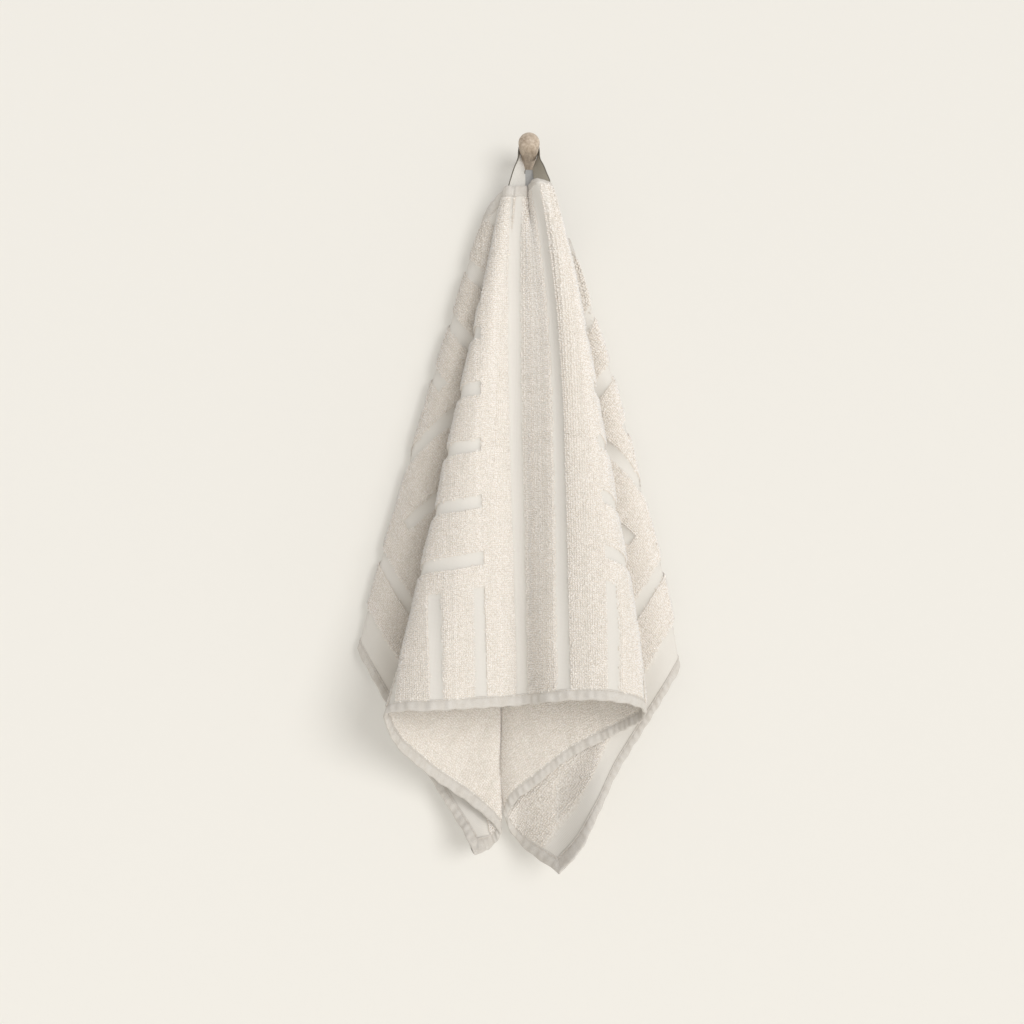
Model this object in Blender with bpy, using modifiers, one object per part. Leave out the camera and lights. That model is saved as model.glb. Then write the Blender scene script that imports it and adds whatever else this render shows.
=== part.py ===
"""Hand towel hanging by its tape loop from a turned wooden wall peg.

The towel is one rectangle of cloth, hung from the middle of a long edge. Its drape is a fan of
straight threads that run from the gathered top edge down to the free edges. A table gives the
main threads: where each starts and ends, in the flat cloth and in the hanging one.
Frame: X to the right, Y into the wall, Z up. The origin is the centre of the peg's wall face.
"""
import bisect
import math

import bmesh
import bpy
from mathutils import Matrix, Vector

MM = 0.001

# Towel, flat sizes in millimetres
TOWEL_LENGTH = 900.0
TOWEL_WIDTH = 500.0
CLOTH_THICKNESS = 3.0
GATHERED_SHARE = 0.5
GATHERED_DEPTH = 60.0
ROWS_DOWN = 34

# Loop tape, millimetres
TAPE_WIDTH = 16.0
TAPE_END_WIDTH = 14.0
TAPE_THICKNESS = 0.8
TAPE_CLEARANCE = 0.35

# Wall peg, millimetres and degrees
PEG_TILT = 16.0
PEG_BALL_RADIUS = 10.3
PEG_BALL_CENTRE = 55.0
PEG_SIDES = 32
TAPE_SEAT = 41.0

# Threads of the fan, from the left flap's corner round the front to the right flap's corner.
# edge: distance along the bottom and side edges from the middle of the bottom edge, mm
# foot: where the thread leaves the top edge, mm from its middle
# top, end: the thread's two ends in space, mm
# bow: how far its middle swings to the right, mm; curl: how far its end curls forward, mm
# curl_start: the share of the thread above the curl; steps: columns up to the next row
THREAD_COLUMNS = ("name", "edge", "foot", "top_x", "top_y", "top_z", "end_x", "end_y", "end_z",
                  "bow", "curl", "curl_start", "steps")
THREADS = (
    ("left_flap_corner", -950, -80, -36.0, -6.4, -52.0, 73.0, -5.5, -408.0, 0, 0, 0.9, 3),
    ("left_flap_middle", -830, -77, -38.8, -6.8, -50.0, -42.0, -5.5, -445.0, 0, 0, 0.9, 3),
    ("left_fold_3_back", -722, -74, -41.0, -11.0, -47.5, -161.0, -8.0, -471.0, -4, 0, 0.9, 1),
    ("left_fold_3", -700, -70, -41.3, -17.0, -45.0, -167.7, -14.0, -478.8, -4, 0, 0.9, 1),
    ("left_fold_3_front", -680, -66, -39.2, -23.5, -41.8, -160.7, -20.0, -492.1, -4, 0, 0.9, 3),
    ("left_side_edge", -570, -61, -34.2, -30.0, -36.8, -110.0, -26.0, -580.6, 0, 1, 0.94, 3),
    ("left_corner_side", -496, -58, -32.4, -32.0, -34.6, -74.0, -32.0, -638.5, 0, 6, 0.94, 1),
    ("left_corner", -450, -56, -31.2, -33.0, -33.5, -51.5, -52.0, -674.0, 0, 26, 0.94, 2),
    ("left_fold_2_back", -420, -54, -29.8, -34.5, -32.2, -38.5, -28.0, -671.0, 0, 5, 0.94, 2),
    ("left_fold_2", -394, -51, -28.2, -36.0, -31.0, -28.6, -28.5, -659.0, 0, 0, 0.9, 2),
    ("left_fold_2_front", -368, -48, -26.8, -37.5, -29.6, -36.2, -34.0, -645.0, 0, 0, 0.9, 1),
    ("left_hem_inner", -340, -45.5, -25.8, -39.0, -28.4, -54.7, -40.0, -628.0, 0, 0, 0.9, 2),
    ("left_hem_middle", -280, -42.5, -24.8, -40.5, -27.2, -97.0, -60.0, -595.0, 0, 0, 0.9, 3),
    ("left_hem_outer", -208, -39.5, -24.0, -42.0, -26.2, -130.5, -110.0, -552.5, 1, 0, 0.9, 2),
    ("left_fold_1", -172, -36, -22.5, -43.8, -25.7, -133.4, -132.0, -531.0, 2, 0, 0.9, 3),
    ("left_crest", -117.5, -32, -19.3, -45.4, -25.5, -86.0, -146.0, -525.0, 1, 0, 0.9, 3),
    ("left_panel", -70.5, -27, -14.8, -46.0, -25.4, -45.5, -130.0, -524.0, 0, 0, 0.9, 3),
    ("left_bar", -23.5, -20, -8.4, -46.0, -25.4, -7.0, -108.0, -523.5, 0, 0, 0.9, 1),
    ("pleat_left", -13, -12, -3.8, -41.5, -25.2, 2.4, -112.0, -522.0, 0, 0, 0.9, 1),
    ("pleat_left_wall", -5.5, -5, -3.2, -34.5, -25.0, 7.0, -117.0, -521.0, 0, 0, 0.9, 1),
    ("pleat", 0, 0, -1.2, -30.8, -24.8, 10.8, -121.0, -520.5, 1, 0, 0.9, 1),
    ("pleat_right_wall", 5.5, 5, 0.8, -34.5, -24.6, 15.0, -125.0, -519.5, 2, 0, 0.9, 1),
    ("pleat_right", 13, 12, 1.2, -42.0, -24.0, 22.0, -128.5, -518.5, 2, 0, 0.9, 1),
    ("right_bar", 23.5, 22, 3.4, -52.5, -21.2, 32.1, -131.0, -517.4, 2, 0, 0.9, 3),
    ("right_panel", 70.5, 32, 12.0, -57.0, -20.4, 78.0, -131.0, -518.0, 5, 0, 0.9, 3),
    ("right_fold_1", 115, 40, 19.0, -54.5, -22.1, 106.9, -102.0, -528.0, 8, 0, 0.9, 2),
    ("right_fold_1_back", 150, 45, 21.4, -50.0, -25.2, 108.0, -70.0, -541.0, 8, 0, 0.9, 2),
    ("right_hem_outer", 195, 49, 22.2, -47.0, -28.0, 87.3, -45.0, -556.0, 6, 0, 0.9, 3),
    ("right_hem_middle", 255, 56, 23.6, -44.0, -33.0, 42.3, -40.0, -580.0, 3, 0, 0.9, 3),
    ("right_hem_inner", 318, 63, 25.6, -41.0, -39.0, 4.1, -38.5, -610.0, -6, 0, 0.9, 2),
    ("right_fold_2_front", 355, 69, 27.6, -39.0, -44.0, -16.5, -36.0, -628.0, -12, 0, 0.9, 2),
    ("right_fold_2", 380, 76, 29.4, -37.0, -49.5, -22.8, -30.0, -643.5, -14, 0, 0.9, 2),
    ("right_fold_2_back", 404, 85, 31.4, -34.5, -56.5, -10.6, -27.5, -665.0, -10, 3, 0.86, 2),
    ("right_corner", 450, 94, 34.2, -31.5, -64.0, 29.4, -62.0, -690.5, -2, 34, 0.86, 4),
    ("right_side_edge", 575, 106, 38.2, -27.2, -73.8, 88.0, -33.0, -594.0, 6, 4, 0.86, 3),
    ("right_fold_3_front", 682, 114, 41.2, -22.6, -80.5, 139.9, -25.5, -509.8, 9, 0, 0.9, 1),
    ("right_fold_3", 702, 119, 41.8, -16.5, -86.5, 147.3, -19.5, -496.4, 9, 0, 0.9, 1),
    ("right_fold_3_back", 724, 123, 41.0, -11.5, -90.0, 141.0, -14.0, -489.0, 9, 0, 0.9, 3),
    ("right_flap_middle", 830, 127, 38.0, -10.6, -93.0, 33.0, -13.2, -440.0, 0, 0, 0.9, 3),
    ("right_flap_corner", 950, 131, 35.0, -10.6, -96.0, -81.0, -13.2, -396.0, 0, 0, 0.9, 1),
)

# Loop tape's centre line, from its left end behind the hem up to the peg and down again.
# turn: how far the tape's width has turned from the peg's axis towards the wall plane, degrees
TAPE_COLUMNS = ("name", "x", "y", "z", "turn", "width")
LEFT_LEG = (
    ("sewn_end", -14.6, -43.4, -37.0, 88, TAPE_END_WIDTH),
    ("hem_edge", -14.6, -42.6, -26.0, 86, TAPE_END_WIDTH),
    ("above_hem", -13.8, -42.3, -19.0, 76, TAPE_WIDTH),
    ("middle", -12.2, -41.4, -8.0, 48, TAPE_WIDTH),
    ("by_peg", -10.6, -40.4, 3.0, 16, TAPE_WIDTH),
)
RIGHT_LEG = (
    ("by_peg", 10.6, -40.6, 3.0, -16, TAPE_WIDTH),
    ("middle", 11.0, -45.0, -6.0, -48, TAPE_WIDTH),
    ("above_hem", 11.4, -50.0, -15.0, -80, TAPE_WIDTH),
    ("hem_edge", 11.9, -51.8, -22.0, -90, TAPE_END_WIDTH),
    ("sewn_end", 12.6, -51.6, -33.0, -90, TAPE_END_WIDTH),
)

# Wall peg's profile: distance from the wall along its axis, radius, mm
PEG_NECK = (
    (-6.0, 7.6),
    (0.0, 6.6),
    (7.0, 5.4),
    (14.0, 4.9),
    (22.0, 5.1),
    (30.0, 6.0),
    (38.0, 7.4),
    (44.0, 8.7),
    (50.0, 9.8),
)


def clear_scene():
    """Remove whatever the scene holds."""
    for item in list(bpy.data.objects):
        bpy.data.objects.remove(item, do_unlink=True)


def plain_material(name, colour, roughness):
    """A Principled material of one colour."""
    material = bpy.data.materials.new(name)
    material.use_nodes = True
    shader = material.node_tree.nodes["Principled BSDF"]
    shader.inputs["Base Color"].default_value = (*colour, 1.0)
    shader.inputs["Roughness"].default_value = roughness
    shader.inputs["Metallic"].default_value = 0.0
    return material


def new_object(name, mesh, collection, material):
    """Link a mesh to the collection under its own name."""
    item = bpy.data.objects.new(name, mesh)
    mesh.materials.append(material)
    collection.objects.link(item)
    return item


def smooth_lookup(keys, values, where):
    """Value at a place between table rows, on a smooth curve through all of them."""
    last = len(keys) - 1
    index = min(max(bisect.bisect_right(keys, where) - 1, 0), last - 1)

    def slope(row):
        if row == 0:
            return (values[1] - values[0]) / (keys[1] - keys[0])
        if row == last:
            return (values[last] - values[last - 1]) / (keys[last] - keys[last - 1])
        before = keys[row] - keys[row - 1]
        after = keys[row + 1] - keys[row]
        slope_before = (values[row] - values[row - 1]) / before
        slope_after = (values[row + 1] - values[row]) / after
        return (slope_before * after + slope_after * before) / (before + after)

    span = keys[index + 1] - keys[index]
    t = (where - keys[index]) / span
    square = t * t
    cube = square * t
    return ((2 * cube - 3 * square + 1) * values[index]
            + (cube - 2 * square + t) * span * slope(index)
            + (3 * square - 2 * cube) * values[index + 1]
            + (cube - square) * span * slope(index + 1))


class Drape:
    """The hanging cloth: where each point of the flat towel lies in space."""

    def __init__(self):
        rows = [dict(zip(THREAD_COLUMNS, row)) for row in THREADS]
        self.edges = [row["edge"] for row in rows]
        self.steps = [row["steps"] for row in rows]
        self.tables = {key: [] for key in ("foot", "top_x", "top_y", "top_z", "run_x", "run_y",
                                           "run_z", "bow", "curl", "curl_start")}
        for row in rows:
            across, down = self.edge_point(row["edge"])
            length = math.hypot(across - row["foot"], down)
            for key in ("foot", "top_x", "top_y", "top_z", "bow", "curl", "curl_start"):
                self.tables[key].append(row[key])
            self.tables["run_x"].append((row["end_x"] - row["top_x"]) / length)
            self.tables["run_y"].append((row["end_y"] + row["curl"] - row["top_y"]) / length)
            self.tables["run_z"].append((row["end_z"] - row["top_z"]) / length)

    @staticmethod
    def edge_point(edge):
        """Flat position of a point on the bottom or side edges."""
        half = TOWEL_LENGTH / 2
        side = -1.0 if edge < 0 else 1.0
        if abs(edge) <= half:
            return edge, TOWEL_WIDTH
        return side * half, TOWEL_WIDTH + half - abs(edge)

    def look(self, key, edge):
        return smooth_lookup(self.edges, self.tables[key], edge)

    def flat(self, edge, share):
        """Flat position of the point a share of the way down a thread, mm."""
        foot = self.look("foot", edge)
        across, down = self.edge_point(edge)
        return foot + share * (across - foot), share * down

    def point(self, edge, share):
        """Position in space of the point a share of the way down a thread, mm."""
        foot = self.look("foot", edge)
        across, down = self.edge_point(edge)
        run = share * math.hypot(across - foot, down)
        spot = Vector([self.look("top_" + axis, edge) + run * self.look("run_" + axis, edge)
                       for axis in "xyz"])
        spot.x += self.look("bow", edge) * (1.0 - abs(2.0 * share - 1.0) ** 4)
        start = self.look("curl_start", edge)
        past = max(0.0, (share - start) / (1.0 - start))
        spot.y -= self.look("curl", edge) * past ** 1.5
        return spot

    def columns(self):
        """Edge places of the mesh's columns."""
        places = []
        for first, second, steps in zip(self.edges, self.edges[1:], self.steps):
            places += [first + (second - first) * step / steps for step in range(steps)]
        return places + [self.edges[-1]]


def make_towel(collection):
    """The cloth: a grid moved onto the drape and given its thickness."""
    drape = Drape()
    columns = drape.columns()
    mesh = bpy.data.meshes.new("towel_cloth")
    grid = bmesh.new()
    bmesh.ops.create_grid(grid, x_segments=len(columns) - 1, y_segments=ROWS_DOWN, size=1.0)
    layer = grid.verts.layers.deform.new()
    for vert in grid.verts:
        column = round((vert.co.x + 1.0) / 2.0 * (len(columns) - 1))
        share = (1.0 - vert.co.y) / 2.0
        vert.co = drape.point(columns[column], share) * MM
        vert[layer][0] = min(1.0, share * TOWEL_WIDTH / GATHERED_DEPTH)
    bmesh.ops.triangulate(grid, faces=grid.faces[:])
    grid.to_mesh(mesh)
    grid.free()
    cotton = plain_material("cotton_terry", (0.80, 0.77, 0.71), 0.95)
    towel = new_object("towel_cloth", mesh, collection, cotton)
    mesh.shade_smooth()
    shell = towel.modifiers.new("thickness", "SOLIDIFY")
    shell.thickness = CLOTH_THICKNESS * MM
    shell.offset = 0.0
    towel.vertex_groups.new(name="full_thickness")
    shell.vertex_group = "full_thickness"
    shell.thickness_vertex_group = GATHERED_SHARE
    return towel


def peg_axis(distance):
    """A point on the peg's axis, mm from the wall face."""
    tilt = math.radians(PEG_TILT)
    return Vector((0.0, -math.cos(tilt), math.sin(tilt))) * distance


def peg_radius(distance):
    """The peg's radius behind its ball."""
    keys = [row[0] for row in PEG_NECK] + [PEG_BALL_CENTRE]
    radii = [row[1] for row in PEG_NECK] + [PEG_BALL_RADIUS]
    return smooth_lookup(keys, radii, distance)


def tape_sections():
    """Centre, width direction and width of the tape's sections, end to end."""
    sections = []
    forward = peg_axis(1.0)
    radius = peg_radius(TAPE_SEAT) + TAPE_CLEARANCE + TAPE_THICKNESS / 2
    taper = (peg_radius(TAPE_SEAT + 8.0) - peg_radius(TAPE_SEAT - 8.0)) / 16.0
    centre = peg_axis(TAPE_SEAT)
    up = Vector((1.0, 0.0, 0.0)).cross(forward) * -1.0
    if up.z < 0:
        up = -up

    def leg(rows):
        for _name, x, y, z, turn, width in rows:
            swing = math.radians(turn)
            across = Vector((math.sin(abs(swing)) * math.copysign(1.0, turn), 0.0, 0.0))
            direction = across + forward * math.cos(swing)
            sections.append((Vector((x, y, z)), direction.normalized(), width))

    leg(LEFT_LEG)
    for step in range(9):
        angle = math.radians(-92.0 + 184.0 * step / 8)
        radial = Vector((math.sin(angle), 0.0, 0.0)) + up * math.cos(angle)
        direction = (forward + radial * taper).normalized()
        sections.append((centre + radial * (radius + 0.15), direction, TAPE_WIDTH))
    leg(RIGHT_LEG)
    return sections


def make_tape(collection):
    """The hanging loop: one flat tape whose two ends lie behind the towel's hem."""
    sections = tape_sections()
    keys = [0.0]
    for first, second in zip(sections, sections[1:]):
        keys.append(keys[-1] + (second[0] - first[0]).length)
    stations = []
    for first, second in zip(keys, keys[1:]):
        count = max(1, round((second - first) / 2.6))
        stations += [first + (second - first) * step / count for step in range(count)]
    stations.append(keys[-1])

    def look(pick, where):
        return smooth_lookup(keys, [pick(section) for section in sections], where)

    grid = bmesh.new()
    bmesh.ops.create_grid(grid, x_segments=len(stations) - 1, y_segments=2, size=1.0)
    for vert in grid.verts:
        where = stations[round((vert.co.x + 1.0) / 2.0 * (len(stations) - 1))]
        centre = Vector([look(lambda section: section[0][axis], where) for axis in range(3)])
        across = Vector([look(lambda section: section[1][axis], where) for axis in range(3)])
        width = look(lambda section: section[2], where)
        vert.co = (centre + across.normalized() * vert.co.y * width / 2) * MM
    bmesh.ops.triangulate(grid, faces=grid.faces[:])
    mesh = bpy.data.meshes.new("loop_tape")
    grid.to_mesh(mesh)
    grid.free()
    cotton = plain_material("cotton_tape", (0.62, 0.62, 0.61), 0.9)
    tape = new_object("loop_tape", mesh, collection, cotton)
    mesh.shade_smooth()
    shell = tape.modifiers.new("thickness", "SOLIDIFY")
    shell.thickness = TAPE_THICKNESS * MM
    shell.offset = 0.0
    return tape


def make_peg(collection):
    """The wall peg: a turned drop, tilted up and cut flat where it meets the wall."""
    profile = [Vector((0.0, 0.0, PEG_NECK[0][0]))]
    profile += [Vector((radius, 0.0, distance)) for distance, radius in PEG_NECK]
    for step in range(10):
        angle = math.radians(90.0 * step / 9)
        profile.append(Vector((PEG_BALL_RADIUS * math.cos(angle) * (step < 9), 0.0,
                               PEG_BALL_CENTRE + PEG_BALL_RADIUS * math.sin(angle))))
    turned = bmesh.new()
    verts = [turned.verts.new(point * MM) for point in profile]
    edges = [turned.edges.new(pair) for pair in zip(verts, verts[1:])]
    bmesh.ops.spin(turned, geom=verts + edges, cent=(0, 0, 0), axis=(0, 0, 1),
                   angle=math.tau, steps=PEG_SIDES)
    bmesh.ops.remove_doubles(turned, verts=turned.verts[:], dist=0.00001)
    bmesh.ops.rotate(turned, verts=turned.verts[:], cent=(0, 0, 0),
                     matrix=Matrix.Rotation(math.radians(90.0 - PEG_TILT), 3, "X"))
    cut = bmesh.ops.bisect_plane(turned, geom=turned.verts[:] + turned.edges[:] + turned.faces[:],
                                 plane_co=(0, 0, 0), plane_no=(0, 1, 0), clear_outer=True)
    rim = [item for item in cut["geom_cut"] if isinstance(item, bmesh.types.BMEdge)]
    bmesh.ops.contextual_create(turned, geom=rim)
    bmesh.ops.recalc_face_normals(turned, faces=turned.faces[:])
    mesh = bpy.data.meshes.new("wall_peg")
    turned.to_mesh(mesh)
    turned.free()
    beech = plain_material("beech_wood", (0.62, 0.48, 0.34), 0.55)
    peg = new_object("wall_peg", mesh, collection, beech)
    mesh.shade_smooth()
    mesh.set_sharp_from_angle(angle=math.radians(40.0))
    return peg


def main():
    clear_scene()
    collection = bpy.data.collections.new("hand_towel_on_a_wall_peg")
    bpy.context.scene.collection.children.link(collection)
    make_peg(collection)
    make_tape(collection)
    make_towel(collection)


main()
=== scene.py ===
"""Dress the hand towel: terry cloth with flat-woven bars, stitched hems, loop tape and wood peg.

Laid out as an add-on that is run as a script. Lengths in the tables are in millimetres.
"""
import math

import bmesh
import bpy
import numpy as np
from mathutils import Matrix, Vector


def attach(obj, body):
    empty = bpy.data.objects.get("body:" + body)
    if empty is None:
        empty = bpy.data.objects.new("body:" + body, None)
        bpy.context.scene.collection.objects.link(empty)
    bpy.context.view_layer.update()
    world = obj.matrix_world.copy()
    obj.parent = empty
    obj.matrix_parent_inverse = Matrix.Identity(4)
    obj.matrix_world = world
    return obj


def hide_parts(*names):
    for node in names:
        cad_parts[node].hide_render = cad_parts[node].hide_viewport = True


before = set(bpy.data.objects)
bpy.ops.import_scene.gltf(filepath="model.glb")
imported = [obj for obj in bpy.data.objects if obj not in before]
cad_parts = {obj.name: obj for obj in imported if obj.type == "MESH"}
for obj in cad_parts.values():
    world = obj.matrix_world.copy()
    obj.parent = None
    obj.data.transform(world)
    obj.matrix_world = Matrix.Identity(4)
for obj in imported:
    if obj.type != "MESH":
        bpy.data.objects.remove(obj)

bl_info = {
    "name": "Hanging hand towel",
    "version": (1, 0, 0),
    "blender": (4, 5, 0),
    "location": "3D View > Sidebar > Towel",
    "description": "Builds a hand towel that hangs from a wall peg by its loop",
    "category": "Object",
}

MM = 0.001
HALF_LENGTH = 450.0
WIDTH = 500.0

# Threads of the drape's fan: edge place, foot on the top edge, the thread's two ends in space, bow
# to the right, curl forward, and the share above the curl. They are the CAD model's, but for the
# tops of six at the middle, which stand up to 2.4 mm aside so that the pleat's mouth is closed.
THREAD_COLUMNS = ("edge", "foot", "top_x", "top_y", "top_z", "end_x", "end_y", "end_z",
                  "bow", "curl", "curl_start")
THREADS = (
    (-950, -80, -36.0, -6.4, -52.0, 73.0, -5.5, -408.0, 0, 0, 0.9),
    (-830, -77, -38.8, -6.8, -50.0, -42.0, -5.5, -445.0, 0, 0, 0.9),
    (-722, -74, -41.0, -11.0, -47.5, -161.0, -8.0, -471.0, -4, 0, 0.9),
    (-700, -70, -41.3, -17.0, -45.0, -167.7, -14.0, -478.8, -4, 0, 0.9),
    (-680, -66, -39.2, -23.5, -41.8, -160.7, -20.0, -492.1, -4, 0, 0.9),
    (-570, -61, -34.2, -30.0, -36.8, -110.0, -26.0, -580.6, 0, 1, 0.94),
    (-496, -58, -32.4, -32.0, -34.6, -74.0, -32.0, -638.5, 0, 6, 0.94),
    (-450, -56, -31.2, -33.0, -33.5, -51.5, -52.0, -674.0, 0, 26, 0.94),
    (-420, -54, -29.8, -34.5, -32.2, -38.5, -28.0, -671.0, 0, 5, 0.94),
    (-394, -51, -28.2, -36.0, -31.0, -28.6, -28.5, -659.0, 0, 0, 0.9),
    (-368, -48, -26.8, -37.5, -29.6, -36.2, -34.0, -645.0, 0, 0, 0.9),
    (-340, -45.5, -25.8, -39.0, -28.4, -54.7, -40.0, -628.0, 0, 0, 0.9),
    (-280, -42.5, -24.8, -40.5, -27.2, -97.0, -60.0, -595.0, 0, 0, 0.9),
    (-208, -39.5, -24.0, -42.0, -26.2, -130.5, -110.0, -552.5, 1, 0, 0.9),
    (-172, -36, -22.5, -43.8, -25.7, -133.4, -132.0, -531.0, 2, 0, 0.9),
    (-117.5, -32, -19.3, -45.4, -25.5, -86.0, -146.0, -525.0, 1, 0, 0.9),
    (-70.5, -27, -14.8, -46.0, -25.4, -45.5, -130.0, -524.0, 0, 0, 0.9),
    (-23.5, -20, -8.4, -46.0, -25.4, -7.0, -108.0, -523.5, 0, 0, 0.9),
    (-13, -12, -2.1, -41.5, -25.2, 2.4, -112.0, -522.0, 0, 0, 0.9),
    (-5.5, -5, -2.2, -34.5, -25.0, 7.0, -117.0, -521.0, 0, 0, 0.9),
    (0, 0, -1.7, -30.8, -24.8, 10.8, -121.0, -520.5, 1, 0, 0.9),
    (5.5, 5, -1.2, -34.5, -24.6, 15.0, -125.0, -519.5, 2, 0, 0.9),
    (13, 12, -1.2, -42.0, -24.0, 22.0, -128.5, -518.5, 2, 0, 0.9),
    (23.5, 22, 2.4, -52.5, -21.2, 32.1, -131.0, -517.4, 2, 0, 0.9),
    (70.5, 32, 12.0, -57.0, -20.4, 78.0, -131.0, -518.0, 5, 0, 0.9),
    (115, 40, 19.0, -54.5, -22.1, 106.9, -102.0, -528.0, 8, 0, 0.9),
    (150, 45, 21.4, -50.0, -25.2, 108.0, -70.0, -541.0, 8, 0, 0.9),
    (195, 49, 22.2, -47.0, -28.0, 87.3, -45.0, -556.0, 6, 0, 0.9),
    (255, 56, 23.6, -44.0, -33.0, 42.3, -40.0, -580.0, 3, 0, 0.9),
    (318, 63, 25.6, -41.0, -39.0, 4.1, -38.5, -610.0, -6, 0, 0.9),
    (355, 69, 27.6, -39.0, -44.0, -16.5, -36.0, -628.0, -12, 0, 0.9),
    (380, 76, 29.4, -37.0, -49.5, -22.8, -30.0, -643.5, -14, 0, 0.9),
    (404, 85, 31.4, -34.5, -56.5, -10.6, -27.5, -665.0, -10, 3, 0.86),
    (450, 94, 34.2, -31.5, -64.0, 29.4, -62.0, -690.5, -2, 34, 0.86),
    (575, 106, 38.2, -27.2, -73.8, 88.0, -33.0, -594.0, 6, 4, 0.86),
    (682, 114, 41.2, -22.6, -80.5, 139.9, -25.5, -509.8, 9, 0, 0.9),
    (702, 119, 41.8, -16.5, -86.5, 147.3, -19.5, -496.4, 9, 0, 0.9),
    (724, 123, 41.0, -11.5, -90.0, 141.0, -14.0, -489.0, 9, 0, 0.9),
    (830, 127, 38.0, -10.6, -93.0, 33.0, -13.2, -440.0, 0, 0, 0.9),
    (950, 131, 35.0, -10.6, -96.0, -81.0, -13.2, -396.0, 0, 0, 0.9),
)

# How single threads leave their straight run, mm: sway to the right, most a third of the way
# down, sag, most at two thirds, and the depth of the pleat at the top. Roll is the share, 0 to 1,
# by which the top edge turns over to the back.
EASE_COLUMNS = ("edge", "sway", "sag", "pleat", "roll")
EASES = (
    (-950, 0, 0, 0, 0),
    (-280, 0, 0, 0, 0),
    (-208, 0, -4, 0, 0),
    (-172, 0, -9, 0, 0),
    (-117.5, -3, -5, 0, 0),
    (-70.5, -6, -1, 0, 0),
    (-23.5, -5, 0, 0, 0),
    (-13, -1, 0, 6.3, 0),
    (-5.5, 2, 0, 14.2, 0),
    (0, 4, 0, 18.5, 0),
    (5.5, 6, 0, 15.3, 0.2),
    (13, 8, 0, 8.3, 0.7),
    (23.5, 10, 0, 0, 1),
    (70.5, 7, 0, 0, 1),
    (115, 0, -5, 0, 1),
    (150, 0, -5, 0, 0.4),
    (195, 0, 0, 0, 0),
    (950, 0, 0, 0, 0),
)
# Share of a thread's run over which the pleat fades out
PLEAT_END = 0.11
# Rolled top edge, mm: the run of cloth that turns over, its radius and how far it is lifted
ROLL_LENGTH = 12.0
ROLL_RADIUS = 5.7
ROLL_LIFT = 6.0
# The thread through a flat point is found between these two ends of the fan, by halving
FAN_REACH = 950.0
SEARCH_TURNS = 34

# Wall peg: distance from the wall along its axis and radius, mm, up to its ball. The neck is up
# to 2.1 mm more in radius than the CAD model's.
PEG_TILT = 16.0
PEG_NECK = ((-6.0, 6.6), (0.0, 6.4), (7.0, 6.2), (14.0, 6.5), (22.0, 7.2), (30.0, 8.1),
            (38.0, 8.9), (44.0, 9.5), (50.0, 10.0), (55.0, 10.3))
PEG_BALL_RADIUS = 10.3
PEG_BALL_CENTRE = 55.0

# Loop tape's legs and its turned-in end: x, y and z of its middle, the turn of its face (degrees)
# and its width
LEFT_LEG = (
    (-12.2, -43.4, -37.0, -88, 16.0),
    (-12.2, -42.2, -26.0, -84, 16.5),
    (-10.6, -40.4, -17.0, -64, 16.0),
    (-9.1, -37.8, -7.0, -44, 15.0),
    (-8.6, -35.2, 1.0, -22, 13.5),
)
RIGHT_LEG = (
    (8.6, -35.2, 1.0, 22, 13.5),
    (9.2, -40.0, -6.0, 44, 15.0),
    (10.9, -45.5, -14.0, 58, 15.5),
    (13.4, -50.2, -22.0, 78, 15.0),
    (14.2, -51.6, -33.0, 90, 14.0),
)
TAPE_TAIL = (
    (1.0, -34.4, -7.6, -86, 9.5),
    (0.8, -34.2, -13.0, -86, 11.5),
    (0.4, -35.8, -18.0, -88, 13.0),
    (0.0, -38.4, -24.5, -90, 13.0),
)
# Where the tape crosses the peg, mm along the peg's axis, and its width there, drawn in
TAPE_SEAT = 35.0
CROWN_WIDTH = 12.0
# Half of the tape's section: place across it, from -1 to 1, and half of its thickness there, mm
TAPE_SECTION = ((-1.0, 0.12), (-0.97, 0.5), (-0.88, 0.5), (-0.82, 0.4), (-0.5, 0.4), (0.0, 0.4),
                (0.5, 0.4), (0.82, 0.4), (0.88, 0.5), (0.97, 0.5), (1.0, 0.12))
TAPE_ROW_PITCH = 0.8
# Painted shadow along the tape's front edge: it is darkened from this far off its middle, mm
SHADOWED_EDGE_START = 7.0
TAPE_WIDTH = 16.0
TAPE_THICKNESS = 0.8
TAPE_CLEARANCE = 0.3
# The tail's place in the tape's flat map, mm, set apart from the loop's own run, so that the colour
# ramp paints it the cool grey of shade
TAIL_MAP_START = 300.0

HEM_SIDES = ("top", "bottom", "left", "right")
HEM_ROW_PITCH = 1.4
# Seam stitches of the hems, mm, and the corners of each stitch's faces
STITCH_INSET = 8.8
STITCH_PITCH = 3.1
STITCH_RADIUS = 0.32
STITCH_FACES = ((0, 1, 2), (0, 2, 3), (0, 3, 4), (0, 4, 1), (5, 2, 1), (5, 3, 2), (5, 4, 3),
                (5, 1, 4))
# Half of a hem's section: distance in from the edge and height over the middle of the cloth, mm
HEM_SECTION = (
    (10.6, 0.3), (10.2, 1.15), (9.3, 1.3), (8.7, 0.75), (8.1, 1.25), (6.0, 1.5), (3.4, 1.55),
    (1.2, 1.45), (0.0, 1.1), (-0.6, 0.45),
)

# Where a loop's tips stand along it, and its faces: four base corners first, then the tips. The
# front has twisted loops with two tips, the back short buds with one.
LOOP_TIPS = (-0.42, 0.42)
LOOP_FACES = ((0, 1, 5, 4), (1, 2, 5), (2, 3, 4, 5), (3, 0, 4))
BUD_TIPS = (0.0,)
BUD_FACES = ((0, 1, 4), (1, 2, 4), (2, 3, 4), (3, 0, 4))
BACK_PITCH_SHARE = 1.12
LOOPS_A_PIECE = 32000
# How far, mm, the terry's ragged edge strays at the bars, and the least share of terry that a
# loop stands on
EDGE_STRAY = 0.55
TERRY_SHARE = 0.55
# Mesh lines stand this far, mm, to both sides of a bar's edge
EDGE_PAIR = 0.8

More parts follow.
